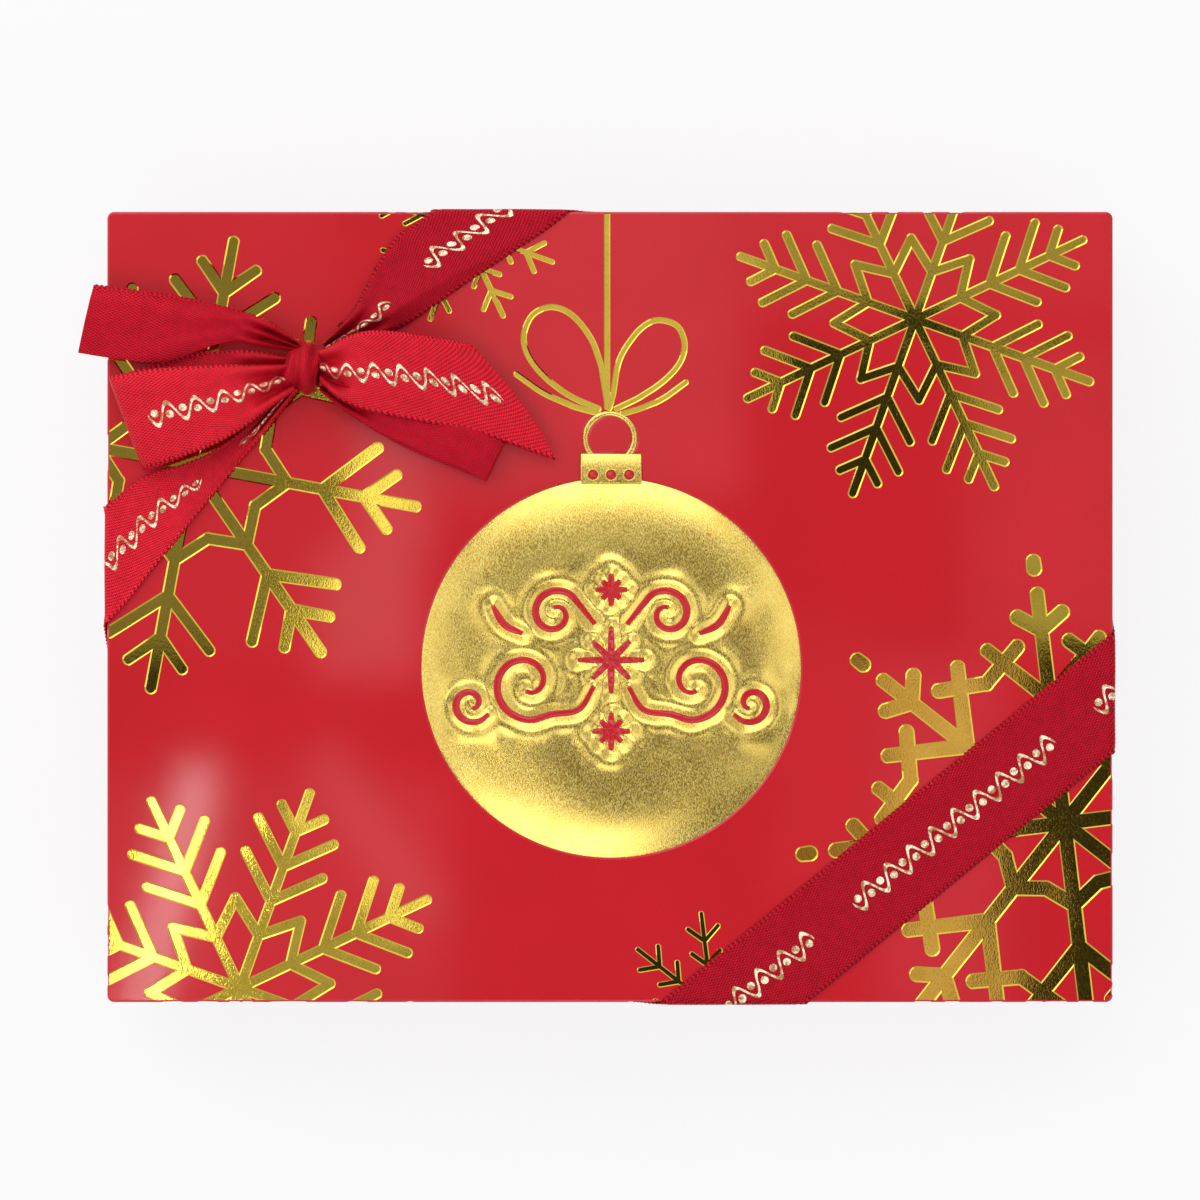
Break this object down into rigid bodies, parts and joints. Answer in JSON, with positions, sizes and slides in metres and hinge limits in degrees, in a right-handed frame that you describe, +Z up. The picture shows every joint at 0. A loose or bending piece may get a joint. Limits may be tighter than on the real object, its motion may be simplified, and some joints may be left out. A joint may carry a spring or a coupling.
{
  "type": "box of chocolates",
  "caption": "Flat gift box of pralines with a lift-off lid, red paper with gold foil snowflakes and a bauble, tied at the corners with a satin ribbon and bow.",
  "frame": {"origin": "middle of the base's underside", "axes": "+X along the long side to the right, +Y to the back, +Z up out of the lid"},
  "size_m": [0.1803, 0.1388, 0.0369],
  "materials": {
    "wrap_paper": "satin",
    "grey_board": "matte",
    "liner_paper": "matte",
    "pad_paper": "matte",
    "gold_foil": "satin",
    "satin_ribbon": "satin",
    "tray_film": "satin",
    "dark_chocolate": "satin",
    "milk_chocolate": "satin",
    "white_chocolate": "satin"
  },
  "bodies": {
    "base": {"base_wrap": "wrap_paper", "base_board": "grey_board", "base_liner": "liner_paper", "insert_tray": "tray_film", "dome_praline_r1c1": "dark_chocolate", "square_praline_r1c2": "milk_chocolate", "heart_praline_r1c3": "milk_chocolate", "bar_praline_r1c4": "white_chocolate", "cup_praline_r1c5": "dark_chocolate", "cup_praline_r2c1": "dark_chocolate", "oval_praline_r2c2": "milk_chocolate", "dome_praline_r2c3": "dark_chocolate", "pyramid_praline_r2c4": "dark_chocolate", "square_praline_r2c5": "milk_chocolate", "square_praline_r3c1": "milk_chocolate", "bar_praline_r3c2": "white_chocolate", "cup_praline_r3c3": "dark_chocolate", "heart_praline_r3c4": "milk_chocolate", "dome_praline_r3c5": "dark_chocolate", "pyramid_praline_r4c1": "dark_chocolate", "dome_praline_r4c2": "dark_chocolate", "oval_praline_r4c3": "milk_chocolate", "square_praline_r4c4": "milk_chocolate", "bar_praline_r4c5": "white_chocolate"},
    "lid": {"lid_wrap": "wrap_paper", "lid_board": "grey_board", "lid_liner": "liner_paper", "lid_pad": "pad_paper", "flake_back_right": "gold_foil", "flake_front_left": "gold_foil", "flake_right": "gold_foil", "flake_left": "gold_foil", "bauble": "gold_foil", "bauble_bow": "gold_foil", "ribbon_front_right": "satin_ribbon", "ribbon_back": "satin_ribbon", "ribbon_left": "satin_ribbon", "bow_knot": "satin_ribbon", "bow_loop_left": "satin_ribbon", "bow_loop_right": "satin_ribbon", "bow_tail_left": "satin_ribbon", "bow_tail_right": "satin_ribbon"}
  },
  "joints": [
    {"name": "lid_lift", "type": "slide", "parent": "base", "child": "lid", "axis": [0, 0, 1], "range_m": [0, 0.12]}
  ]
}
